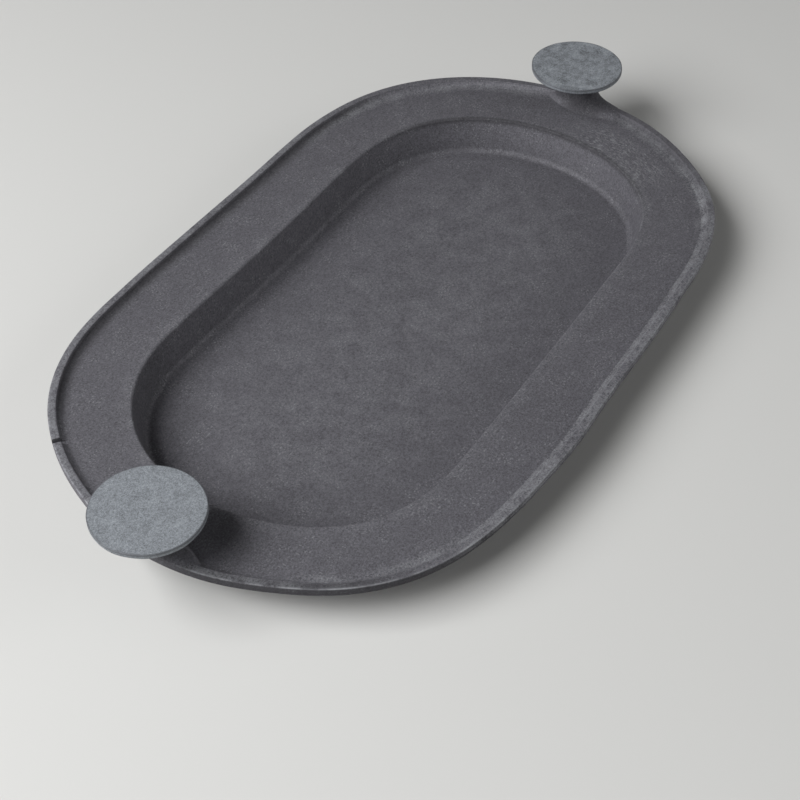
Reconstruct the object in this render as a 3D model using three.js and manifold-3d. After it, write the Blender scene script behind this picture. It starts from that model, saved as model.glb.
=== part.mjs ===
// A zinc serving tray: an oblong pan with a flat brim, an edge moulding soldered round the brim,
// and at each end a disc knob on a flared stem, held by a screw from below.
// Millimetres, +Z up. X runs along the tray and Y across it, and the origin is the middle of
// the underside that the tray stands on.

import * as THREE from "three";
import { mergeVertices } from "three/addons/utils/BufferGeometryUtils.js";
import Module from "manifold-3d";

const wasm = await Module();
wasm.setup();

// Pan
const trayLength = 500;
const trayWidth = 298;
const endSwell = 2.4; // the ends' shoulders stand this far outside half circles
const brimWidth = 48; // from the outer edge to the edge of the well
const wellDepth = 24; // from the brim down to the floor
const panThickness = 2.2;
const wallDraft = THREE.MathUtils.degToRad(12); // lean of the well's wall off upright
const floorFillet = 6; // floor to wall, inside the well
const wellEdgeRadius = 1.2; // brim to wall
const underBrimFillet = 2; // wall to brim, outside
const brimEdgeRadius = 1.2; // lower outer edge of the brim

// Edge moulding
const mouldingHeight = 3.2;
const mouldingTopWidth = 4.9;
const coveWidth = 4.8;
const coveToeHeight = 0.4; // metal left where the cove runs out on the brim
const mouldingEdgeRadius = 0.9;
const buttAngle = THREE.MathUtils.degToRad(138.5); // where the strip's ends meet, round the -X end
const buttGap = 2.8;
const solderGap = 0.1;

// Knobs
const knobInset = 6.9; // axis from the outer edge of the tray
const stemOffCentre = 4.6; // each stem from the middle line, to the left as seen from its own end
const discOffCentre = 5.8; // both discs from the middle line, towards +Y
const knobRise = 26.4; // from the moulding's top to the disc's top
const discDiameter = 62.6;
const discThickness = 3.3;
const discEdgeRadius = 1.1;
const neckDiameter = 12;
const footWidth = 20; // of the stem's foot on the brim, across the rim
const footLength = 46; // of the stem's foot on the moulding, along the rim
const footToeHeight = 0.5;
const footFlare = 3; // power of the curve from the neck out to the foot
const stemSeatGap = 0.3; // stem to moulding and brim
const headDiameter = 21; // stem's seat under the disc
const headFlareHeight = 7.5; // from the neck up to the seat's edge
const headEdgeHeight = 0.8;
const spigotDiameter = 12; // stem's spigot in the disc's socket
const spigotHeight = 1.5;
const spigotClearance = 0.15;

// Screws
const screwDiameter = 4;
const screwLength = 16; // under the head
const screwHeadDiameter = 8;
const screwHeadHeight = 2.6;
const screwHeadCrown = 0.7; // rise of the dome within the head's height
const screwTipChamfer = 0.6;
const slotWidth = 1;
const slotDepth = 1.2;
const washerDiameter = 9;
const washerThickness = 0.8;
const holeClearance = 0.25; // screw to the holes in washer, pan and moulding, on the radius
const threadClearance = 0.15; // screw to the hole in the stem, on the radius
const threadRunOut = 1.5; // hole in the stem beyond the screw's tip
const contactGap = 0.05; // washer to brim and to screw head

// Facets
const outlineFacets = 80; // round both ends of the tray together
const knobFacets = 40;
const screwFacets = 20;
const arcFacets = 4;
const stemCurveFacets = 7;

// Heights and radii that follow from the dimensions above
const endRadius = trayWidth / 2;
const halfStraight = trayLength / 2 - endRadius;
const wellRadius = endRadius - brimWidth;
const brimTop = panThickness + wellDepth;
const brimBottom = brimTop - panThickness;
const mouldingBottom = brimTop + solderGap;
const mouldingTop = mouldingBottom + mouldingHeight;
const discTop = mouldingTop + knobRise;
const discBottom = discTop - discThickness;
const stemTop = discBottom - solderGap;
const spigotTop = stemTop + spigotHeight;
const neckRadius = neckDiameter / 2;
const neckAt = stemTop - headEdgeHeight - headFlareHeight;
const brimSeat = brimTop + stemSeatGap;
const footToe = brimSeat + footToeHeight;
const mouldingSeat = mouldingTop + stemSeatGap;
const knobDistance = trayLength / 2 - knobInset;
const washerTop = brimBottom - contactGap;
const headTop = washerTop - washerThickness - contactGap;
const screwTip = headTop + screwLength;
const holeRadius = screwDiameter / 2 + holeClearance;

const tarnishedZinc = { color: 0x5c5b5f, roughness: 0.62, metalness: 0.6 };
const rawZinc = { color: 0x8d9298, roughness: 0.55, metalness: 0.6 };
const zincPlatedSteel = { color: 0xa3a39f, roughness: 0.4, metalness: 1 };

function point(radius, height) {
  return new THREE.Vector2(radius, height);
}

// Points on an arc, both ends included, with angles in radians
function arc(centreRadius, centreHeight, radius, from, to) {
  return Array.from({ length: arcFacets + 1 }, (_, i) => {
    const angle = from + ((to - from) * i) / arcFacets;
    return point(
      centreRadius + radius * Math.cos(angle),
      centreHeight + radius * Math.sin(angle),
    );
  });
}

// Only positions, with shared corners merged, so that the surface is closed
function closed(geometry) {
  geometry.deleteAttribute("normal");
  geometry.deleteAttribute("uv");
  return mergeVertices(geometry);
}

// A profile of radius and height turned round the Z axis
function turned(profile, facets) {
  return new THREE.LatheGeometry(profile, facets).rotateX(Math.PI / 2);
}

// The same for the tray's outline: a turned form whose two halves stand apart along X, so that the
// two facets between them become the straight sides, and whose ends swell at the shoulders
function oblong(profile) {
  const endFacets = outlineFacets / 2;
  const columns = outlineFacets + 2;
  const geometry = new THREE.LatheGeometry(profile, columns);
  const position = geometry.getAttribute("position");
  for (let i = 0; i < position.count; i++) {
    const { x: radius, y: height } = profile[i % profile.length];
    const column = Math.floor(i / profile.length) % columns;
    const side = column <= endFacets ? 1 : -1;
    const step = side === 1 ? column : column - 1;
    const angle = Math.PI * (step / endFacets - 0.5);
    const reach = radius + Math.min(radius, endSwell) * Math.sin(2 * angle) ** 2;
    const x = side * halfStraight + reach * Math.cos(angle);
    position.setXYZ(i, x, reach * Math.sin(angle), height);
  }
  return geometry;
}

function solidOf(geometry) {
  const merged = closed(geometry.clone());
  return new wasm.Manifold(
    new wasm.Mesh({
      numProp: 3,
      vertProperties: merged.getAttribute("position").array,
      triVerts: new Uint32Array(merged.index.array),
    }),
  );
}

function geometryOf(solid) {
  const { vertProperties, triVerts } = solid.getMesh();
  const geometry = new THREE.BufferGeometry();
  geometry.setAttribute("position", new THREE.BufferAttribute(vertProperties, 3));
  geometry.setIndex(new THREE.BufferAttribute(triVerts, 1));
  return geometry;
}

function cylinder(radius, bottom, top, facets) {
  return new THREE.CylinderGeometry(radius, radius, top - bottom, facets)
    .rotateX(Math.PI / 2)
    .translate(0, 0, (bottom + top) / 2);
}

function part(name, geometry, finish) {
  const mesh = new THREE.Mesh(geometry, new THREE.MeshStandardMaterial(finish));
  mesh.geometry.computeVertexNormals();
  mesh.name = name;
  return mesh;
}

// Tangent length of a round of the given radius at the well's leaning wall
function wallTangent(radius) {
  return radius * Math.tan((Math.PI / 2 - wallDraft) / 2);
}

// Half section of the pan: underside from the middle outwards, then the upper side back
function panProfile() {
  const lean = Math.tan(wallDraft);
  const wallUp = Math.PI - wallDraft;
  const floorEdge = wellRadius - wellDepth * lean - wallTangent(floorFillet);
  const filletHeight = panThickness + floorFillet;
  const outsideCorner =
    wellRadius + panThickness / Math.cos(wallDraft) - panThickness * lean;
  return [
    point(0, 0),
    ...arc(floorEdge, filletHeight, filletHeight, -Math.PI / 2, -wallDraft),
    ...arc(
      outsideCorner + wallTangent(underBrimFillet),
      brimBottom - underBrimFillet,
      underBrimFillet,
      wallUp,
      Math.PI / 2,
    ),
    ...arc(
      endRadius - brimEdgeRadius,
      brimBottom + brimEdgeRadius,
      brimEdgeRadius,
      -Math.PI / 2,
      0,
    ),
    point(endRadius, brimTop),
    ...arc(
      wellRadius + wallTangent(wellEdgeRadius),
      brimTop - wellEdgeRadius,
      wellEdgeRadius,
      Math.PI / 2,
      wallUp,
    ),
    ...arc(floorEdge, filletHeight, floorFillet, -wallDraft, -Math.PI / 2),
    point(0, panThickness),
  ];
}

// Upper side of the moulding from its inner top edge down the hollow cove to the toe on the brim
function coveProfile() {
  const toe = endRadius - mouldingTopWidth - coveWidth;
  const rise = mouldingHeight - coveToeHeight;
  const hollow = new THREE.EllipseCurve(
    toe,
    mouldingTop,
    coveWidth,
    rise,
    0,
    -Math.PI / 2,
    true,
  );
  return hollow.getPoints(arcFacets);
}

function mouldingProfile() {
  const cove = coveProfile();
  const toe = cove.at(-1).x;
  return [
    point(toe, mouldingBottom),
    point(endRadius, mouldingBottom),
    ...arc(
      endRadius - mouldingEdgeRadius,
      mouldingTop - mouldingEdgeRadius,
      mouldingEdgeRadius,
      0,
      Math.PI / 2,
    ),
    ...cove,
    point(toe, mouldingBottom),
  ];
}

// The space over brim and moulding that a stem may fill, a seat's gap clear of both
function seatProfile() {
  const cove = coveProfile().map(({ x, y }) =>
    point(x - stemSeatGap, y + stemSeatGap),
  );
  return [
    point(0, brimSeat),
    point(cove.at(-1).x, brimSeat),
    ...cove.reverse(),
    point(endRadius + footLength, mouldingSeat),
    point(endRadius + footLength, discTop),
    point(0, discTop),
  ];
}

// The space beside the rim below the neck, where the foot is filed flush with the outer edge
function overhangProfile() {
  return [
    point(endRadius, brimBottom),
    point(endRadius + footLength, brimBottom),
    point(endRadius + footLength, neckAt),
    point(endRadius, neckAt),
    point(endRadius, brimBottom),
  ];
}

// Both stems and discs were set by hand, so neither stands quite on the tray's middle line
function stemPlace(side) {
  return new THREE.Vector3(side * knobDistance, -side * stemOffCentre, 0);
}

function screwHole(side, radius) {
  const hole = cylinder(radius, 0, screwTip + threadRunOut, screwFacets);
  const { x, y } = stemPlace(side);
  return solidOf(hole.translate(x, y, 0));
}

function bored(geometry) {
  return solidOf(geometry)
    .subtract(screwHole(-1, holeRadius))
    .subtract(screwHole(1, holeRadius));
}

function panGeometry() {
  return geometryOf(bored(oblong(panProfile())));
}

// The strip is one length bent round the brim, with a gap left where its ends meet
function mouldingGeometry() {
  const reach = mouldingTopWidth + coveWidth;
  const slot = new THREE.BoxGeometry(reach * 2, buttGap, mouldingHeight * 3)
    .translate(endRadius - reach / 2, 0, mouldingBottom)
    .rotateZ(buttAngle)
    .translate(-halfStraight, 0, 0);
  return geometryOf(bored(oblong(mouldingProfile())).subtract(solidOf(slot)));
}

// Half breadth of the stem at a height, as it sweeps from the neck out to its reach at the base
function sweep(height, base, reach) {
  const rise = THREE.MathUtils.clamp((height - base) / (neckAt - base), 0, 1);
  return neckRadius + (reach - neckRadius) * (1 - rise) ** footFlare;
}

function stemProfile() {
  const foot = Array.from({ length: stemCurveFacets }, (_, i) => {
    const height = footToe + ((neckAt - footToe) * i) / stemCurveFacets;
    return point(sweep(height, footToe, footWidth / 2), height);
  });
  const headEdge = stemTop - headEdgeHeight;
  const head = new THREE.QuadraticBezierCurve(
    point(neckRadius, neckAt),
    point(neckRadius, headEdge),
    point(headDiameter / 2, headEdge),
  );
  return [
    point(0, brimTop),
    point(footWidth / 2, brimTop),
    ...foot,
    ...head.getPoints(stemCurveFacets),
    point(headDiameter / 2, stemTop),
    point(spigotDiameter / 2, stemTop),
    point(spigotDiameter / 2, spigotTop),
    point(0, spigotTop),
  ];
}

// Below the neck the round stem spreads along the rim, down to its long seat on the moulding
function spreadAlongRim(geometry) {
  const position = geometry.getAttribute("position");
  for (let i = 0; i < position.count; i++) {
    const height = position.getZ(i);
    const along = sweep(height, mouldingSeat, footLength / 2);
    const across = sweep(height, footToe, footWidth / 2);
    position.setY(i, (position.getY(i) * along) / across);
  }
  return geometry;
}

function stemGeometry(side) {
  const { x, y } = stemPlace(side);
  const blank = spreadAlongRim(turned(stemProfile(), knobFacets));
  const solid = solidOf(blank.translate(x, y, 0))
    .intersect(solidOf(oblong(seatProfile())))
    .subtract(solidOf(oblong(overhangProfile())))
    .subtract(screwHole(side, screwDiameter / 2 + threadClearance));
  return geometryOf(solid).translate(-x, -y, 0);
}

// The socket lies under the disc where the stem stands, off the disc's own middle
function discGeometry(side) {
  const edge = discDiameter / 2 - discEdgeRadius;
  const blank = turned(
    [
      point(0, discBottom),
      ...arc(edge, discBottom + discEdgeRadius, discEdgeRadius, -Math.PI / 2, 0),
      ...arc(edge, discTop - discEdgeRadius, discEdgeRadius, 0, Math.PI / 2),
      point(0, discTop),
    ],
    knobFacets,
  );
  const socket = cylinder(
    spigotDiameter / 2 + spigotClearance,
    stemTop,
    spigotTop + solderGap,
    knobFacets,
  );
  socket.translate(0, stemPlace(side).y - discOffCentre, 0);
  return geometryOf(solidOf(blank).subtract(solidOf(socket)));
}

function screwGeometry() {
  const shank = screwDiameter / 2;
  const headBottom = headTop - screwHeadHeight;
  const crown = new THREE.QuadraticBezierCurve(
    point(0, headBottom),
    point(screwHeadDiameter / 2, headBottom),
    point(screwHeadDiameter / 2, headBottom + screwHeadCrown),
  );
  const blank = turned(
    [
      ...crown.getPoints(arcFacets),
      point(screwHeadDiameter / 2, headTop),
      point(shank, headTop),
      point(shank, screwTip - screwTipChamfer),
      point(shank - screwTipChamfer, screwTip),
      point(0, screwTip),
    ],
    screwFacets,
  );
  const slot = new THREE.BoxGeometry(
    screwHeadDiameter * 2,
    slotWidth,
    slotDepth * 2,
  );
  slot.translate(0, 0, headBottom);
  return geometryOf(solidOf(blank).subtract(solidOf(slot)));
}

function washerGeometry() {
  const radius = washerDiameter / 2;
  const bottom = washerTop - washerThickness;
  return turned(
    [
      point(holeRadius, bottom),
      point(radius, bottom),
      point(radius, washerTop),
      point(holeRadius, washerTop),
      point(holeRadius, bottom),
    ],
    screwFacets,
  );
}

function knob(end, side) {
  const group = new THREE.Group();
  group.position.copy(stemPlace(side));
  const disc = part(`knob_disc_${end}`, discGeometry(side), rawZinc);
  disc.position.y = discOffCentre - group.position.y;
  group.add(
    part(`knob_stem_${end}`, stemGeometry(side), tarnishedZinc),
    disc,
    part(`knob_washer_${end}`, washerGeometry(), zincPlatedSteel),
    part(`knob_screw_${end}`, screwGeometry(), zincPlatedSteel),
  );
  return group;
}

const tray = new THREE.Group();
tray.add(
  part("tray_pan", panGeometry(), tarnishedZinc),
  part("edge_moulding", mouldingGeometry(), tarnishedZinc),
  knob("left", -1),
  knob("right", 1),
);

export default tray;
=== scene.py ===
import math

import bmesh
import bpy
from mathutils import Matrix, Vector, noise


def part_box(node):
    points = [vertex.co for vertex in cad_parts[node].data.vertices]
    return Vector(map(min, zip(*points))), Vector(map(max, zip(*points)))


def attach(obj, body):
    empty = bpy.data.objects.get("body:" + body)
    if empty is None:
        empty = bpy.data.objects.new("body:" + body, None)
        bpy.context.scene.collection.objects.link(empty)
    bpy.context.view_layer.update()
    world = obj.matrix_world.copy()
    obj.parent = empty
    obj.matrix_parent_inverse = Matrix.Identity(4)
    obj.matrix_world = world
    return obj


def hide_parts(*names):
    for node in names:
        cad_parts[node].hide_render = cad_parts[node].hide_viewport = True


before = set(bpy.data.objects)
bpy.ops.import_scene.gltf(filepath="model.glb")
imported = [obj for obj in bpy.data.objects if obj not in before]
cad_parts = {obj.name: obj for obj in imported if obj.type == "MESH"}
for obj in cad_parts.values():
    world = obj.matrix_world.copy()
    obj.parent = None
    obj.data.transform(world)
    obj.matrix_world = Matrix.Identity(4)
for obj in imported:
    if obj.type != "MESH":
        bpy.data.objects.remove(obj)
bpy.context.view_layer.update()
scene = bpy.context.scene
scene.view_settings.view_transform = "Standard"
mm = 0.001  # sizes below are in millimetres, the scene in metres

# Sizes read from the frame
panLow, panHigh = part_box("tray_pan")
endRadius = (panHigh.y - panLow.y) / 2
halfStraight = panHigh.x - endRadius
brimTop = panHigh.z
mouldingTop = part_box("edge_moulding")[1].z
knobEnds = ("left", "right")  # the left end lies nearer the camera
print("frame: tray", [round((h - l) / mm, 1) for l, h in zip(panLow, panHigh)], "mm")


# Camera, at the photograph's place
cameraPlace = {
    "at": (-660.8, -397.5, 682.4),
    "yaw": 31.12,  # degrees from +X to the way the lens looks
    "pitch": 44.07,  # degrees below level
    "roll": 0.26,
    "lens": 73.93,
    "sensor": 36,
    "nearest": 10,  # nothing nearer than this is drawn
}


def makeCamera(place):
    data = bpy.data.cameras.new("camera")
    data.lens = place["lens"]
    data.sensor_width = place["sensor"]
    data.clip_start = place["nearest"] * mm
    camera = bpy.data.objects.new("camera", data)
    scene.collection.objects.link(camera)
    turn = Matrix.Rotation(math.radians(place["yaw"] - 90), 4, "Z")
    tilt = Matrix.Rotation(math.radians(90 - place["pitch"]), 4, "X")
    roll = Matrix.Rotation(math.radians(place["roll"]), 4, "Z")
    camera.matrix_world = Matrix.Translation(Vector(place["at"]) * mm) @ turn @ tilt @ roll
    scene.camera = camera


makeCamera(cameraPlace)
print("camera: made")


# Colours and nodes
firstColour, secondColour, mixedColour = 6, 7, 2  # sockets of a Mix node that mixes colours


def linear(hexText):
    channels = [int(hexText[i:i + 2], 16) / 255 for i in (1, 3, 5)]
    return [c / 12.92 if c <= 0.04045 else ((c + 0.055) / 1.055) ** 2.4 for c in channels] + [1]


def perMm(size):
    return 1 / (size * mm)  # texture scale that makes features of this size


def newMaterial(name):
    material = bpy.data.materials.new(name)
    material.use_nodes = True
    material.node_tree.nodes.clear()
    return material


def addNode(tree, kind, inputs=None, out=0, **settings):
    node = tree.nodes.new("ShaderNode" + kind)
    for key, value in settings.items():
        setattr(node, key, value)
    for key, value in (inputs or {}).items():
        if isinstance(value, bpy.types.NodeSocket):
            tree.links.new(value, node.inputs[key])
        else:
            node.inputs[key].default_value = value
    return node.outputs[out] if node.outputs else None


def speckledTone(tree, place, layers):
    tone = 0.5 - sum(share for size, share in layers) / 2  # so that the sum of the layers lies round 0.5
    for size, share in layers:
        spots = addNode(tree, "TexNoise", {"Vector": place, "Scale": perMm(size), "Detail": 1.0})
        tone = addNode(tree, "Math", {0: spots, 1: share, 2: tone}, operation="MULTIPLY_ADD")
    return tone


def finishSurface(tree, look, colour, tone, dulled=None):
    low, high = look["roughness"]
    rough = addNode(tree, "MapRange", {"Value": tone, "To Min": high, "To Max": low})
    if dulled is not None:
        rough = addNode(tree, "MapRange", {"Value": dulled, "To Min": rough, "To Max": 1.0})
    relief = addNode(tree, "Bump", {
        "Height": tone, "Strength": look["bump"], "Distance": look["relief"] * mm,
    })
    shader = addNode(tree, "BsdfPrincipled", {
        "Base Color": colour, "Roughness": rough, "Normal": relief, "Metallic": look["metallic"],
    })
    addNode(tree, "OutputMaterial", {"Surface": shader})


# Tarnished zinc: sheet, strip and castings, filed, darkened with patina and left to dull. It gives the eye
# a matt, faintly violet dark grey, speckled like fine sandpaper, with pale bloom where it was rubbed.
tarnishedZinc = {
    "dark": "#39383c",
    "light": "#7b7a81",
    "pale": "#a6a8ac",
    # the darkest colour, for grime and for painted shade
    "grimeAndPaintedShade": "#1d1c1e",
    "metallic": 0.35,  # a film of patina over the metal
    "roughness": (0.56, 0.74),
    "bump": 0.3,
    "relief": 0.12,
    # mm and share of the tone; the finest are coarser than the real grain so that they show
    "layers": [(0.55, 0.85), (1.3, 0.55), (2.6, 0.28), (6, 0.16), (75, 0.12)],
    "speck": 1.1,
    "speckRange": (0.58, 0.82),  # noise at which it starts and is full, as in the ranges below
    "speckMost": 0.5,
    "streak": (1.2, 4),  # mm across and along
    "streakRange": (0.48, 0.75),
    "patch": 14,  # mm, size of the patches that specks, bloom and wear come in
    "patchRange": (0.4, 0.65),
    "bloomRange": (0.75, 1.2),  # of grain and patch together
    "wearLeast": 0.1,  # share of the wear outside the patches
}


def makeTarnishedZinc(look):
    material = newMaterial("tarnished_zinc_patina")
    tree = material.node_tree
    place = addNode(tree, "TexCoord", out="Object")
    tone = speckledTone(tree, place, look["layers"])
    patch = addNode(tree, "TexNoise", {"Vector": place, "Scale": perMm(look["patch"]), "Detail": 3.0})
    patchStart, patchFull = look["patchRange"]
    colour = addNode(tree, "Mix", {
        "Factor": tone, firstColour: linear(look["dark"]), secondColour: linear(look["light"]),
    }, out=mixedColour, data_type="RGBA")

    # Sparse pale specks, more of them in some patches
    start, full = look["speckRange"]
    speck = addNode(tree, "TexNoise", {"Vector": place, "Scale": perMm(look["speck"]), "Detail": 0.0})
    specked = addNode(tree, "MapRange", {
        "Value": speck, "From Min": start, "From Max": full, "To Max": look["speckMost"],
    })
    patched = addNode(tree, "MapRange", {"Value": patch, "From Min": patchStart, "From Max": patchFull})
    specks = addNode(tree, "Math", {0: specked, 1: patched}, operation="MULTIPLY")

    # Brush marks that follow the outline
    start, full = look["streakRange"]
    width, length = look["streak"]
    lay = addNode(tree, "Attribute", out="Vector", attribute_name="lay")
    followed = addNode(tree, "Mapping", {"Vector": lay, "Scale": (1, width / length, width / length)})
    streak = addNode(tree, "TexNoise", {"Vector": followed, "Scale": perMm(width), "Detail": 2.0})
    brushed = addNode(tree, "Attribute", out="Fac", attribute_name="brushed")
    streaked = addNode(tree, "MapRange", {"Value": streak, "From Min": start, "From Max": full})
    streaks = addNode(tree, "Math", {0: streaked, 1: brushed}, operation="MULTIPLY")
    for share in (specks, streaks):
        colour = addNode(tree, "Mix", {
            "Factor": share, firstColour: colour, secondColour: linear(look["pale"]),
        }, out=mixedColour, data_type="RGBA")

    # Dark, dull patches over the specks and brush marks: grime where no cloth reaches, and painted shade in
    # the well, on the rim's outer wall and on the stems under the discs
    grimeAndPaintedShade = addNode(tree, "Attribute", out="Fac", attribute_name="grimeAndPaintedShade")
    colour = addNode(tree, "Mix", {
        "Factor": grimeAndPaintedShade, firstColour: colour, secondColour: linear(look["grimeAndPaintedShade"]),
    }, out=mixedColour, data_type="RGBA")

    # Chalky bloom in hollows and bare metal on rubbed edges, both broken up
    start, full = look["bloomRange"]
    broken = addNode(tree, "Math", {0: tone, 1: patch}, operation="ADD")
    broken = addNode(tree, "MapRange", {"Value": broken, "From Min": start, "From Max": full})
    bloom = addNode(tree, "Attribute", out="Fac", attribute_name="bloom")
    blooms = addNode(tree, "Math", {0: broken, 1: bloom}, operation="MULTIPLY")
    wear = addNode(tree, "Attribute", out="Fac", attribute_name="wear")
    rubbed = addNode(tree, "MapRange", {
        "Value": patch, "From Min": patchStart, "From Max": patchFull, "To Min": look["wearLeast"],
    })
    wears = addNode(tree, "Math", {0: rubbed, 1: wear}, operation="MULTIPLY")
    for share in (blooms, wears):
        colour = addNode(tree, "Mix", {
            "Factor": share, firstColour: colour, secondColour: linear(look["pale"]),
        }, out=mixedColour, data_type="RGBA")
    finishSurface(tree, look, colour, tone, grimeAndPaintedShade)
    return material


# Bare zinc: cast discs, sanded and left without patina. It gives the eye a lighter, bluish, chalky grey
# with a fine speckle and darker stains, the sawn edge left dark.
bareZinc = {
    "dark": "#585b5f",
    "light": "#adb3ba",
    "edge": "#4a4c50",
    "metallic": 0.35,  # the chalky film that bare zinc grows
    "roughness": (0.5, 0.68),
    "bump": 0.3,
    "relief": 0.1,
    "layers": [(0.55, 1.2), (1.2, 0.55), (2.4, 0.22), (5, 0.14)],
    "stain": 6.5,
    "stainMiddle": 0.5,  # noise that leaves the tone as it is
    "stainShare": 0.8,
}


def makeBareZinc(look):
    material = newMaterial("bare_zinc_sanded")
    tree = material.node_tree
    place = addNode(tree, "TexCoord", out="Object")
    tone = speckledTone(tree, place, look["layers"])
    stain = addNode(tree, "TexNoise", {"Vector": place, "Scale": perMm(look["stain"]), "Detail": 3.0})
    stain = addNode(tree, "Math", {0: stain, 1: look["stainMiddle"]}, operation="SUBTRACT")
    stained = addNode(tree, "Attribute", out="Fac", attribute_name="stained")
    amount = addNode(tree, "Math", {0: stained, 1: look["stainShare"]}, operation="MULTIPLY")
    tone = addNode(tree, "Math", {0: stain, 1: amount, 2: tone}, operation="MULTIPLY_ADD")
    colour = addNode(tree, "Mix", {
        "Factor": tone, firstColour: linear(look["dark"]), secondColour: linear(look["light"]),
    }, out=mixedColour, data_type="RGBA")
    edge = addNode(tree, "Attribute", out="Fac", attribute_name="edge")
    colour = addNode(tree, "Mix", {
        "Factor": edge, firstColour: colour, secondColour: linear(look["edge"]),
    }, out=mixedColour, data_type="RGBA")
    finishSurface(tree, look, colour, tone)
    return material


# Zinc-plated steel: turned screws and pressed washers. It gives the eye a satin cool grey, lightly clouded.
platedSteel = {
    "dark": "#858684",
    "light": "#b8b8b4",
    "metallic": 1,
    "roughness": (0.3, 0.48),
    "bump": 0.2,
    "relief": 0.03,
    "layers": [(0.4, 0.5), (2, 0.5)],
}


def makePlatedSteel(look):
    material = newMaterial("zinc_plated_steel")
    tree = material.node_tree
    tone = speckledTone(tree, addNode(tree, "TexCoord", out="Object"), look["layers"])
    colour = addNode(tree, "Mix", {
        "Factor": tone, firstColour: linear(look["dark"]), secondColour: linear(look["light"]),
    }, out=mixedColour, data_type="RGBA")
    finishSurface(tree, look, colour, tone)
    return material


zincDark = makeTarnishedZinc(tarnishedZinc)
zincBare = makeBareZinc(bareZinc)
steelPlated = makePlatedSteel(platedSteel)
print("materials: made")


# The tray as hands left it, the same for pan, moulding and stems, so that what touches still touches
handWork = {
    "endSwell": 2.4,  # the ends' shoulders outside half circles
    "lift": 0.3,  # the brim's waviness up and down
    "liftSize": 150,
    "liftSlice": 0.7,  # which waves; any number gives others
    "liftEnd": 20,  # in from the tray's ends, where the waves have died away
    "bulges": [  # x, y, push outwards and reach, all mm
        (-236, 63, -2.1, 24),  # rim, left end
        (-215, 97, -1.6, 24),
        (-236, -66, -1.7, 22),
        (217, -95, -2.3, 30),  # rim, right end
        (-128, -146, -2.6, 32),  # rim, near side
        (-60, -149, 1.6, 22),
        (112, -148, -2.2, 30),
        (125, 149, -2, 32),  # rim, far side
        (52, 149, -1.3, 28),
        (-110, 149, -1, 22),
        (166, -77, 1.9, 30),  # well's edge at the ends
        (-156, -85, 1.8, 30),
        (0, 101, -1.6, 40),  # well's edge, far side
    ],
}


def outlineReach(x, y):
    spine = max(-halfStraight, min(halfStraight, x))
    away = Vector((x - spine, y))
    reach = away.length
    return reach, (away / reach if reach > 0 else away)


def smooth(value, low, high):
    share = max(0, min(1, (value - low) / (high - low)))
    return share * share * (3 - 2 * share)


def handShaped(point, work=handWork):
    x, y, z = point
    reach, out = outlineReach(x, y)
    push = min(reach, work["endSwell"] * mm) * (2 * out.x * out.y) ** 2
    for atX, atY, depth, size in work["bulges"]:
        away = math.hypot(x - atX * mm, y - atY * mm) / (size * mm)
        push += depth * mm * math.exp(-away * away / 2)
    lift = work["lift"] * mm * noise.noise(Vector((x, y, work["liftSlice"])) / (work["liftSize"] * mm))
    lift *= smooth(z, panLow.z, brimTop)
    lift *= 1 - smooth(abs(x), halfStraight, panHigh.x - work["liftEnd"] * mm)
    return Vector((x + out.x * push, y + out.y * push, z + lift))


# Mesh makers
meshFinish = {
    "weld": 0.002,  # points nearer than this become one
    "sharp": 40,  # degrees; edges bent more than this stay sharp
}


def toMetres(lengths):
    return [length * mm for length in lengths]


def arcPoints(centre, radius, start, end, count):
    angles = [math.radians(start + (end - start) * i / count) for i in range(count + 1)]
    return [(centre[0] + radius * math.cos(a), centre[1] + radius * math.sin(a)) for a in angles]


def spaced(start, end, count):
    return [tuple(a + (b - a) * i / (count + 1) for a, b in zip(start, end)) for i in range(1, count + 1)]


def turnsAround(count):
    return [2 * math.pi * i / count for i in range(count)]


def stripFaces(columns, rows, ring=True):
    faces = []
    for i in range(columns if ring else columns - 1):
        here, there = i * rows, (i + 1) % columns * rows
        faces += [(here + j, there + j, there + j + 1, here + j + 1) for j in range(rows - 1)]
    return faces


def addPiece(name, vertices, faces, material, nodes, marks, finish=meshFinish):
    mesh = bpy.data.meshes.new(name)
    mesh.from_pydata(vertices, [], faces)
    for key, values in marks.items():
        flat = not isinstance(values[0], tuple)
        attribute = mesh.attributes.new(key, "FLOAT" if flat else "FLOAT_VECTOR", "POINT")
        numbers = values if flat else [number for value in values for number in value]
        attribute.data.foreach_set("value" if flat else "vector", numbers)
    work = bmesh.new()
    work.from_mesh(mesh)
    bmesh.ops.remove_doubles(work, verts=work.verts, dist=finish["weld"] * mm)
    bmesh.ops.recalc_face_normals(work, faces=work.faces)
    work.to_mesh(mesh)
    work.free()
    mesh.shade_smooth()
    mesh.set_sharp_from_angle(angle=math.radians(finish["sharp"]))
    mesh.materials.append(material)
    piece = bpy.data.objects.new(name, mesh)
    scene.collection.objects.link(piece)
    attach(piece, "root")
    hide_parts(*nodes)


columnCounts = {"end": 180, "side": 80}


def outlineColumns(counts):
    columns = []
    for side in (1, -1):
        for i in range(counts["end"]):
            angle = math.pi * (i / counts["end"] - side / 2)
            columns.append((side * halfStraight, math.cos(angle), math.sin(angle)))
        for i in range(counts["side"]):
            x = side * halfStraight * (1 - 2 * i / counts["side"])
            columns.append((x, 0.0, float(side)))
    return columns


def sweptAround(section, columns, ring, rules):
    vertices = []
    marks = {key: [] for key in ("lay", *rules)}
    for spine, outX, outY in columns:
        turn = math.degrees(math.atan2(outY, outX))  # 0 at the right end, 90 along the far side
        for reach, height in section:
            vertices.append(handShaped((spine + outX * reach, outY * reach, height)))
            marks["lay"].append((reach, spine + outX * endRadius, outY * endRadius))
            for key, rule in rules.items():
                marks[key].append(rule(reach, height, turn))
    return vertices, stripFaces(len(columns), len(section), ring), marks


# Marks of use and of painted shade lie at a turn round the tray, with a spread, both in degrees, and an
# amount

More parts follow.
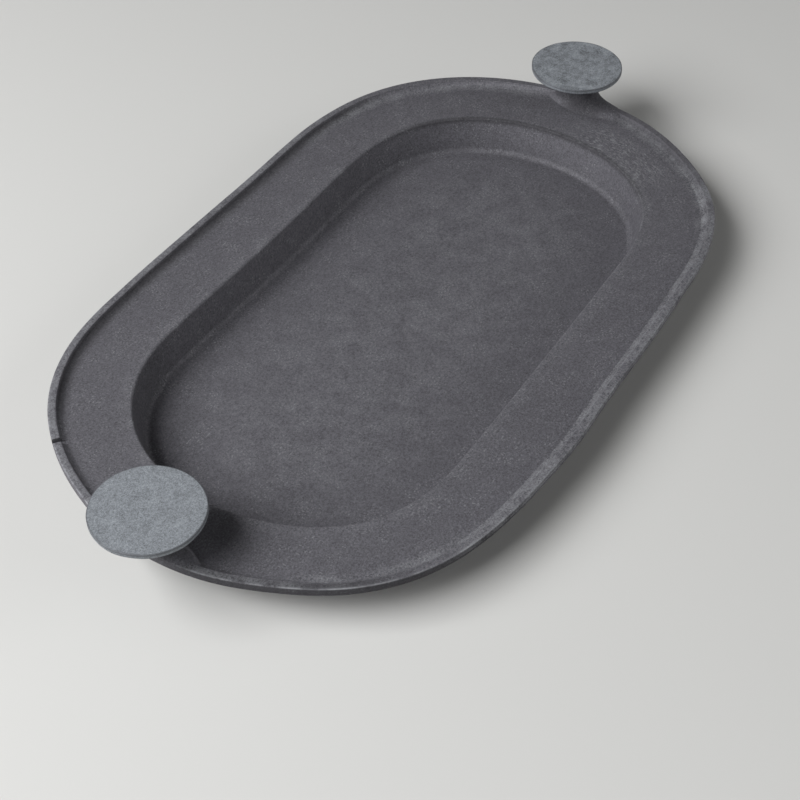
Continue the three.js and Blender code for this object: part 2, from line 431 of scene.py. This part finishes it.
def markAt(turn, mark):
    middle, spread, amount = mark
    off = abs((turn - middle + 180) % 360 - 180)
    return amount * (1 - smooth(off, spread / 2, spread))  # all of it round the middle, none past the spread


# What use and time left along the moulding's foot, and painted shade beside it, shared by brim and moulding
footMarks = {
    "foot": 9.7,  # in from the rim
    "bloom": [(47, 50, 0.28), (-38, 42, 0.3), (-130, 26, 0.26)],
    "bloomReach": (1, 4.5),  # to both sides of the foot, where it starts to fade and is gone
    # dark patina in the cove along the far side, and painted shade of the lip by the left end
    "grimeAndPaintedShade": [(97, 45, 0.6), (165, 60, 0.12), (-20, 45, 0.22)],
    "grimeAndShadeFrom": (-4.5, 2.5),  # outwards from the foot, where it starts and is full
    "grimeAndShadeTo": (4, 5.2),  # where it starts to fade and is gone
    "outerWallPaintedShade": (-135, 60, 0.6),  # painted shade on the rim's outer wall, on the near left side
    "outerReach": (0.5, 0.8),  # in from the wall and down from the top, where it fades
}


def footBloom(reach, turn, marks=footMarks):
    off = abs(reach - endRadius + marks["foot"] * mm)
    return (1 - smooth(off, *toMetres(marks["bloomReach"]))) * sum(markAt(turn, m) for m in marks["bloom"])


# darkens a band along the foot: patina, and painted shade of the lip
def footGrimeAndShade(reach, turn, marks=footMarks):
    past = reach - endRadius + marks["foot"] * mm
    band = smooth(past, *toMetres(marks["grimeAndShadeFrom"])) * (1 - smooth(past, *toMetres(marks["grimeAndShadeTo"])))
    return band * sum(markAt(turn, m) for m in marks["grimeAndPaintedShade"])


# painted shade on the rim's outer wall
def outerWallPaintedShade(reach, height, turn, marks=footMarks):
    inward, down = toMetres(marks["outerReach"])
    onWall = smooth(reach, endRadius - inward, endRadius)
    onWall *= 1 - smooth(height, mouldingTop - down, mouldingTop)
    return onWall * markAt(turn, marks["outerWallPaintedShade"])


# Pan: floor, well and brim in one sheet
pan = {
    "sheet": 2.2,
    "brimWidth": 48,
    "draft": 12,  # degrees
    "floorFillet": 4.5,
    "wellEdge": 1.6,
    "underFillet": 2,
    "brimEdge": 1.2,
    "arcSteps": {"floorFillet": 12, "wellEdge": 8, "underFillet": 8, "brimEdge": 6},
    "rows": {"underFloor": 5, "outerWall": 4, "underBrim": 8, "brim": 24, "wall": 6, "floor": 9},
    "floorBloom": 0.1,
    "floorBloomFrom": 0.3,  # share of the way to the wall, where it starts to fade
    "brimBloom": 0.09,  # by the well's edge
    "brimBloomWidth": 12,
    "brimBloomLoss": (20, 70, 0.7),
    # painted shade on the well's wall, on the side turned from the key lamp
    "wallPaintedShade": (130, 46, 0.26),
    # painted shade on the well's rounded edge, dimming the key lamp's highlight there
    "edgePaintedShade": (5, 80, 0.55),
    "edgePaintedShadeBand": (0.2, 0.5),  # in edge radii, its middle out from the well and where it starts to fade
    # painted shade in the crease at the foot of the well's wall
    "filletPaintedShade": (15, 90, 0.15),
    "filletPaintedShadeBand": (0.4, 0.4),  # in fillet radii, the same
    # darker on the brim by the right stem
    "darkerByStem": (6, 22, 0.16),
    "darkerByStemFrom": (12, 30),  # out from the well, where it starts and is full
    "brushed": (-26, 26, 0.55),
    "brushedMiddle": 12,  # out from the well
    "brushedReach": (8, 22),  # to both sides of there, where it starts to fade and is gone
}


def makePan(size):
    steps, rows = size["arcSteps"], size["rows"]
    draft = size["draft"]
    lean = math.tan(math.radians(draft))
    tangent = math.tan(math.radians((90 - draft) / 2))
    sheet = size["sheet"] * mm
    wellRadius = endRadius - size["brimWidth"] * mm
    floorTop = panLow.z + sheet
    brimBottom = brimTop - sheet
    fillet, under = size["floorFillet"] * mm, size["underFillet"] * mm
    rim, edge = size["brimEdge"] * mm, size["wellEdge"] * mm
    floorEdge = wellRadius - (brimTop - floorTop) * lean - fillet * tangent
    outside = wellRadius + sheet / math.cos(math.radians(draft)) - sheet * lean

    # Section, from the middle of the underside round the brim to the middle of the floor
    start, corner, end = (0, panLow.z), (endRadius, brimTop), (0, floorTop)
    filletCentre = (floorEdge, floorTop + fillet)
    neckCentre = (outside + under * tangent, brimBottom - under)
    wellCentre = (wellRadius + edge * tangent, brimTop - edge)
    lower = arcPoints(filletCentre, fillet + sheet, -90, -draft, steps["floorFillet"])
    neck = arcPoints(neckCentre, under, 180 - draft, 90, steps["underFillet"])
    lip = arcPoints((endRadius - rim, brimBottom + rim), rim, -90, 0, steps["brimEdge"])
    wellLip = arcPoints(wellCentre, edge, 90, 180 - draft, steps["wellEdge"])
    upper = arcPoints(filletCentre, fillet, -draft, -90, steps["floorFillet"])
    section = [start, *spaced(start, lower[0], rows["underFloor"]), *lower]
    section += [*spaced(lower[-1], neck[0], rows["outerWall"]), *neck]
    section += [*spaced(neck[-1], lip[0], rows["underBrim"]), *lip, corner]
    section += [*spaced(corner, wellLip[0], rows["brim"]), *wellLip]
    section += [*spaced(wellLip[-1], upper[0], rows["wall"]), *upper]
    section += [*spaced(upper[-1], end, rows["floor"]), end]

    def onBrim(height):
        return smooth(height, brimTop - edge, brimTop)

    def inWell(reach, height):
        return (1 - onBrim(height)) * smooth(height, floorTop - sheet / 2, floorTop) * (reach < wellRadius)

    def bloom(reach, height, turn):
        onFloor = 1 - smooth(reach, floorEdge * size["floorBloomFrom"], floorEdge)
        nearEdge = 1 - smooth(reach - wellRadius, 0, size["brimBloomWidth"] * mm)
        onTop = size["brimBloom"] * nearEdge * (1 - markAt(turn, size["brimBloomLoss"]))
        onTop += footBloom(reach, turn)
        return size["floorBloom"] * inWell(reach, height) * onFloor + onBrim(height) * onTop

    # painted shade on the well's wall, edge and fillet and on the rim's outer wall; patina and painted shade
    # along the moulding's foot; darker toward the right stem
    def grimeAndPaintedShade(reach, height, turn):
        middle, fade = [share * edge for share in size["edgePaintedShadeBand"]]
        atEdge = 1 - smooth(abs(reach - wellRadius - middle), fade, edge)
        atEdge *= smooth(height, brimTop - 2 * edge, brimTop - edge)
        middle, fade = [share * fillet for share in size["filletPaintedShadeBand"]]
        inFillet = 1 - smooth(abs(reach - floorEdge - middle), fade, fillet)
        onWall = smooth(reach, floorEdge, floorEdge + fillet)
        shaded = onWall * markAt(turn, size["wallPaintedShade"]) + inFillet * markAt(turn, size["filletPaintedShade"])
        shaded = inWell(reach, height) * shaded + atEdge * markAt(turn, size["edgePaintedShade"])
        byStem = smooth(reach - wellRadius, *toMetres(size["darkerByStemFrom"]))
        onTop = max(footGrimeAndShade(reach, turn), byStem * markAt(turn, size["darkerByStem"]))
        return shaded + onBrim(height) * onTop + outerWallPaintedShade(reach, height, turn)

    def brushed(reach, height, turn):
        off = abs(reach - wellRadius - size["brushedMiddle"] * mm)
        innerHalf = 1 - smooth(off, *toMetres(size["brushedReach"]))
        return innerHalf * onBrim(height) * markAt(turn, size["brushed"])

    columns = outlineColumns(columnCounts)
    rules = {"bloom": bloom, "grimeAndPaintedShade": grimeAndPaintedShade, "brushed": brushed}
    vertices, faces, marks = sweptAround(section, columns, True, rules)
    addPiece("pan_sheet", vertices, faces, zincDark, ["tray_pan"], marks)


makePan(pan)
print("pan: made")


# Edge moulding: one strip bent round the brim, its ends left a little apart
moulding = {
    "topWidth": 4.9,
    "coveWidth": 4.8,
    "edge": 0.9,
    "innerEdge": 0.4,
    "bed": 0.05,  # sunk in the solder, so that the cove runs out on the brim
    "buttAngle": 138.5,  # degrees round the left end
    "buttGap": 3.2,
    "buttRow": 0.5,  # from each end to its next row of points
    "arcSteps": {"cove": 14, "edge": 6, "innerEdge": 4},
    "rows": {"wall": 2, "top": 3},
    "wear": 0.08,  # all along the outer edge
    "rubbed": (-130, 55, 0.5),
    "wearReach": (0.1, 0.7),  # from the edge, where it starts to fade and is gone
    "topBloom": (140, 90, 0.35),
    "topFade": 1,
    "handBloom": (-80, 46, 0.36),  # the side that the hand rubs
    # darker in the cove on the near right
    "coveDarker": (-42, 50, 0.2),
    "coveDarkerFrom": (1, 4),  # out from the toe, where it starts and is full
    # darker on the moulding's top by the left stem
    "darkerByStem": (-160, 40, 0.5),
    "buttGrime": 0.5,
    "brushed": 0.08,
}


def coveSection(size):
    count = size["arcSteps"]["cove"]
    crest = endRadius - size["topWidth"] * mm
    width = size["coveWidth"] * mm
    rise = mouldingTop - brimTop + size["bed"] * mm
    turns = [math.pi / 2 * i / count for i in range(count + 1)]
    return [(crest - width + width * math.cos(t), mouldingTop - rise * math.sin(t)) for t in turns]


def makeMoulding(size):
    steps, rows = size["arcSteps"], size["rows"]
    edge, softened = size["edge"] * mm, size["innerEdge"] * mm
    bottom = brimTop - size["bed"] * mm
    cove = coveSection(size)
    crest, toe = cove[0][0], cove[-1][0]
    outer = arcPoints((endRadius - edge, mouldingTop - edge), edge, 0, 90, steps["edge"])
    inner = arcPoints((crest + softened, mouldingTop - softened), softened, 90, 180, steps["innerEdge"])
    cove = [point for point in cove if point[1] < inner[-1][1]]
    corner = (endRadius, bottom)
    section = [(toe, bottom), corner, *spaced(corner, outer[0], rows["wall"]), *outer]
    section += [*spaced(outer[-1], inner[0], rows["top"]), *inner, *cove]

    # Columns from one side of the butt joint round to the other
    half = size["buttGap"] * mm / endRadius / 2
    near = size["buttRow"] * mm / endRadius
    butt = math.radians(size["buttAngle"])

    def pastButt(column):
        spine, outX, outY = column
        atEnd = spine <= -halfStraight and outX < 0
        return (math.atan2(outY, outX) - butt) % (2 * math.pi) if atEnd else math.pi

    columns = outlineColumns(columnCounts)
    first = min(range(len(columns)), key=lambda i: abs(pastButt(columns[i]) - half))
    columns = columns[first:] + columns[:first]
    columns = [c for c in columns if half < pastButt(c) < 2 * math.pi - half]
    ends = [butt + turn for turn in (half, half + near, -half - near, -half)]
    ends = [(-halfStraight, math.cos(turn), math.sin(turn)) for turn in ends]
    columns = [*ends[:2], *columns[1:-1], *ends[2:]]

    def onTop(reach, height):
        pastCrest = smooth(reach, crest, crest + size["topFade"] * mm)
        return pastCrest * smooth(height, mouldingTop - edge, mouldingTop)

    def wear(reach, height, turn):
        fromEdge = math.hypot(endRadius - edge / 2 - reach, mouldingTop - height)
        worn = size["wear"] + markAt(turn, size["rubbed"])
        return worn * (1 - smooth(fromEdge, *toMetres(size["wearReach"])))

    def bloom(reach, height, turn):
        ofTop = onTop(reach, height) * markAt(turn, size["topBloom"])
        return footBloom(reach, turn) + ofTop + markAt(turn, size["handBloom"])

    # painted shade on the outer wall; patina and painted shade along the foot; darker in the near-right cove
    # and by the left stem; dark butt ends
    def grimeAndPaintedShade(reach, height, turn):
        atButt = 1 - smooth(abs(turn - size["buttAngle"]), math.degrees(half), math.degrees(half + near))
        inCove = smooth(reach - toe, *toMetres(size["coveDarkerFrom"])) * markAt(turn, size["coveDarker"])
        byStem = onTop(reach, height) * markAt(turn, size["darkerByStem"])
        along = footGrimeAndShade(reach, turn) + outerWallPaintedShade(reach, height, turn) + inCove + byStem
        return max(along, size["buttGrime"] * atButt)

    def brushed(reach, height, turn):
        return size["brushed"]

    rules = {"wear": wear, "bloom": bloom, "grimeAndPaintedShade": grimeAndPaintedShade, "brushed": brushed}
    vertices, faces, marks = sweptAround(section, columns, False, rules)
    last = len(vertices) - len(section)
    cap = range(len(section) - 1)
    faces += [tuple(cap), tuple(last + i for i in reversed(cap))]
    addPiece("moulding_strip", vertices, faces, zincDark, ["edge_moulding"], marks)


makeMoulding(moulding)
print("moulding: made")


# Stems: necked columns that flare over brim, cove and moulding, filed flush outside
stem = {
    "neck": 12,
    "footWidth": 20,
    "footLength": 46,
    "toe": 0.8,
    "flare": 3,  # power of the curve from neck to foot
    "solder": 2.2,  # how far the solder crept out round the foot
    "solderRise": 0.8,
    "run": 1.4,  # how far it ran along the cove for each mm below the moulding's top
    "runTips": 8,  # power that keeps that to the foot's tips
    "sunk": 0.4,  # the foot's edge, drowned in the solder
    "head": 21,
    "headFlare": 7.5,
    "headEdge": 0.8,
    "around": 144,
    "seatRings": (0.25, 0.5, 0.75),  # shares of the foot, on the seat below it
    "footSteps": 30,
    "footCrowding": 1.8,  # power that draws those rings to the foot
    "headSteps": 12,
    "halvings": 24,  # of a span, to find where it is crossed
    "grimeAndPaintedShade": (0.12, 0.48),  # painted shade under the disc, at the foot's tips and round the neck
    "paintedShadeFade": 1.5,  # in neck radii, where it starts to fade
}


def seatHeight(reach, cove):
    crest, toe = cove[0], cove[-1]
    if reach <= toe[0]:
        return brimTop
    if reach >= crest[0]:
        return mouldingTop
    upper, lower = next((a, b) for a, b in zip(cove, cove[1:]) if reach >= b[0])
    share = (reach - lower[0]) / (upper[0] - lower[0])
    return max(brimTop, lower[1] + (upper[1] - lower[1]) * share)


def makeStem(end, size):
    screwLow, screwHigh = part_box(f"knob_screw_{end}")
    axis = (screwLow + screwHigh) / 2
    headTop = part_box(f"knob_disc_{end}")[0].z
    cove = coveSection(moulding)
    neck, head = size["neck"] / 2 * mm, size["head"] / 2 * mm
    headEdge = headTop - size["headEdge"] * mm
    neckAt = headEdge - size["headFlare"] * mm
    toe = brimTop + size["toe"] * mm

    def breadth(height, base, seat, reach):
        rise = max(0, min(1, (height - base) / (neckAt - base)))
        crept = size["solder"] * mm * math.exp(-max(0, height - seat) / (size["solderRise"] * mm))
        return neck + (reach * mm / 2 - neck) * (1 - rise) ** size["flare"] + crept

    def flush(x, y):
        if outlineReach(axis.x + x, axis.y + y)[0] <= endRadius:
            return x, y
        inner, outer = 0.0, 1.0
        for _ in range(size["halvings"]):
            middle = (inner + outer) / 2
            over = outlineReach(axis.x + x * middle, axis.y + y * middle)[0] > endRadius
            inner, outer = (inner, middle) if over else (middle, outer)
        return x * inner, y * inner

    def bodyPoint(turn, height):
        across = breadth(height, toe, brimTop, size["footWidth"])
        along = breadth(height, mouldingTop, mouldingTop, size["footLength"])
        along += size["run"] * max(0, mouldingTop - height) * math.sin(turn) ** size["runTips"]
        return flush(across * math.cos(turn), along * math.sin(turn))

    def seatAt(x, y):
        return seatHeight(outlineReach(axis.x + x, axis.y + y)[0], cove)

    def footHeight(turn):
        bottom, top = brimTop, neckAt
        for _ in range(size["halvings"]):
            middle = (bottom + top) / 2
            x, y = bodyPoint(turn, middle)
            bottom, top = (middle, top) if middle < seatAt(x, y) else (bottom, middle)
        return top

    # Rings, from the seat out to the foot's edge and up to the head
    turns = turnsAround(size["around"])
    feet = [footHeight(turn) for turn in turns]
    foot = [bodyPoint(turn, height) for turn, height in zip(turns, feet)]
    rings = []
    for share in size["seatRings"]:
        ring = [(x * share, y * share) for x, y in foot]
        rings.append([(x, y, seatAt(x, y)) for x, y in ring])
    for step in range(size["footSteps"] + 1):
        share = (step / size["footSteps"]) ** size["footCrowding"]
        sunk = size["sunk"] * mm if step == 0 else 0
        heights = [bottom + (neckAt - bottom) * share - sunk for bottom in feet]
        rings.append([(*bodyPoint(turn, height), height) for turn, height in zip(turns, heights)])
    for step in range(1, size["headSteps"] + 1):
        share = step / size["headSteps"]
        reach = neck + (head - neck) * share ** 2
        height = neckAt + (headEdge - neckAt) * (1 - (1 - share) ** 2)
        rings.append([(reach * math.cos(turn), reach * math.sin(turn), height) for turn in turns])
    rings.append([(head * math.cos(turn), head * math.sin(turn), headTop) for turn in turns])

    points = [point for column in zip(*rings) for point in column]
    vertices = [handShaped((axis.x + x, axis.y + y, z)) for x, y, z in points]
    rows = len(rings)
    faces = stripFaces(len(turns), rows)
    faces += [tuple(reversed(range(0, len(points), rows))), tuple(range(rows - 1, len(points), rows))]
    # Painted shade under the disc: darkest round the neck, fading out to the foot's tips
    atTips, atNeck = size["grimeAndPaintedShade"]
    fade, tips = size["paintedShadeFade"] * neck, size["footLength"] / 2 * mm
    shares = [smooth(math.hypot(x, y), fade, tips) for x, y, z in points]
    marks = {"grimeAndPaintedShade": [atNeck + (atTips - atNeck) * share for share in shares]}
    name = f"stem_flared_{end}"
    addPiece(name, vertices, faces, zincDark, [f"knob_stem_{end}"], marks)


for end in knobEnds:
    makeStem(end, stem)
print("stems: made")


# Discs: flat round plates with a sawn edge, a little out of true
disc = {
    "upperEdge": 0.5,
    "lowerEdge": 0.9,
    "around": 180,
    "edgeSteps": 6,
    "rows": {"under": 4, "side": 3, "top": 8},
    "ragged": 0.3,  # the outline's unevenness
    "raggedSize": 11,
    "stained": {"left": 0.5, "right": 1.4},
    "sideDark": 0.25,
    "sideDarkFade": 0.3,  # inwards on the top
    "cornerDark": 0.5,  # more of it at the upper corner
    "cornerDarkReach": (0.3, 0.9),  # down and up from there, where it starts to fade and is gone
}


def makeDisc(end, size):
    low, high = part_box(f"knob_disc_{end}")
    centre = (low + high) / 2
    radius = (high.x - low.x) / 2
    rows = size["rows"]
    upperEdge, lowerEdge = size["upperEdge"] * mm, size["lowerEdge"] * mm
    lower = arcPoints((radius - lowerEdge, low.z + lowerEdge), lowerEdge, -90, 0, size["edgeSteps"])
    upper = arcPoints((radius - upperEdge, high.z - upperEdge), upperEdge, 0, 90, size["edgeSteps"])
    bottom, top = (0, low.z), (0, high.z)
    ring = (upper[-1][0] - size["sideDarkFade"] * mm, high.z)
    section = [bottom, *spaced(bottom, lower[0], rows["under"]), *lower]
    section += [*spaced(lower[-1], upper[0], rows["side"]), *upper]
    section += [ring, *spaced(ring, top, rows["top"]), top]

    def edgeMark(reach, height):
        onSide = smooth(reach, ring[0], upper[-1][0])
        atCorner = 1 - smooth(abs(height - high.z + upperEdge), *toMetres(size["cornerDarkReach"]))
        return onSide * (size["sideDark"] + size["cornerDark"] * atCorner)

    vertices = []
    marks = {"stained": [], "edge": []}
    for turn in turnsAround(size["around"]):
        out = Vector((math.cos(turn), math.sin(turn), 0))
        uneven = noise.noise((centre + out * radius) / (size["raggedSize"] * mm)) * size["ragged"] * mm
        for reach, height in section:
            at = centre + out * (reach + uneven * reach / radius)
            vertices.append((at.x, at.y, height))
            marks["stained"].append(size["stained"][end])
            marks["edge"].append(edgeMark(reach, height))
    faces = stripFaces(size["around"], len(section))
    addPiece(f"disc_plate_{end}", vertices, faces, zincBare, [f"knob_disc_{end}"], marks)


for end in knobEnds:
    makeDisc(end, disc)
print("discs: made")


# Washers and screws keep their solids, in plated steel
for end in knobEnds:
    for kind in ("washer", "screw"):
        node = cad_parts[f"knob_{kind}_{end}"]
        node.data.materials.clear()
        node.data.materials.append(steelPlated)
print("fasteners: dressed")


# Floor and light, in metres, watts and degrees
studio = {
    "floor": "#cfcfcd",
    "floorRoughness": 0.8,
    "white": "#ffffff",
    "painted": (0.8, 1.8),  # from the middle, over which the floor turns white to the eye
    "bend": (3.2, 0.8),  # where the floor bends up into a backdrop and how roundly
    "bendSteps": 12,
    "backdropTop": 1,
    "around": 96,
    "sky": 0.03,  # strength of the even light from all round
    "lamps": {  # size is width and height, turn is round from +X, rise is above level
        "key": {"power": 70.5, "size": (1.8, 1.4), "turn": 148, "rise": 43},
        "fill": {"power": 13, "size": (2.0, 1.2), "turn": 298, "rise": 24},
    },
    "lampDistance": 2.2,
}


def makeFloor(look):
    start, bend = look["bend"]
    curve = arcPoints((start, bend), bend, -90, 0, look["bendSteps"])
    section = [(0, 0), *curve, (start + bend, look["backdropTop"])]
    turns = turnsAround(look["around"])
    vertices = [(r * math.cos(turn), r * math.sin(turn), z) for turn in turns for r, z in section]
    mesh = bpy.data.meshes.new("floor")
    mesh.from_pydata(vertices, [], stripFaces(look["around"], len(section)))
    mesh.shade_smooth()
    material = newMaterial("floor_paint")
    material.cycles.emission_sampling = "NONE"  # the white is seen, straight or mirrored, and is no lamp
    tree = material.node_tree
    paint = addNode(tree, "BsdfPrincipled", {
        "Base Color": linear(look["floor"]), "Roughness": look["floorRoughness"],
    })
    white = addNode(tree, "Emission", {"Color": linear(look["white"]), "Strength": 1.0})
    place = addNode(tree, "TexCoord", out="Object")
    away = addNode(tree, "VectorMath", {0: place}, out="Value", operation="LENGTH")
    near, far = look["painted"]
    seen = addNode(tree, "LightPath", out="Is Camera Ray")
    for kind in ("Is Glossy Ray", "Is Transmission Ray"):
        ray = addNode(tree, "LightPath", out=kind)
        seen = addNode(tree, "Math", {0: seen, 1: ray}, operation="MAXIMUM")
    share = addNode(tree, "MapRange", {"Value": away, "From Min": near, "From Max": far, "To Max": seen})
    shader = addNode(tree, "MixShader", {0: share, 1: paint, 2: white})
    addNode(tree, "OutputMaterial", {"Surface": shader})
    mesh.materials.append(material)
    floor = bpy.data.objects.new("floor", mesh)
    scene.collection.objects.link(floor)


def makeSky(look):
    world = bpy.data.worlds.new("studio")
    scene.world = world
    world.use_nodes = True
    tree = world.node_tree
    tree.nodes.clear()
    sky = addNode(tree, "Background", {"Color": linear(look["white"]), "Strength": look["sky"]})
    addNode(tree, "OutputWorld", {"Surface": sky})


def makeLamps(look):
    for name, lampLook in look["lamps"].items():
        data = bpy.data.lights.new(name, "AREA")
        data.shape = "RECTANGLE"
        data.size, data.size_y = lampLook["size"]
        data.energy = lampLook["power"]
        lamp = bpy.data.objects.new(name, data)
        scene.collection.objects.link(lamp)
        turn, rise = math.radians(lampLook["turn"]), math.radians(lampLook["rise"])
        aim = Vector((math.cos(turn) * math.cos(rise), math.sin(turn) * math.cos(rise), math.sin(rise)))
        lamp.location = aim * look["lampDistance"]
        lamp.rotation_euler = aim.to_track_quat("Z", "Y").to_euler()


makeFloor(studio)
makeSky(studio)
makeLamps(studio)
print("studio: made")

print("scene: made")
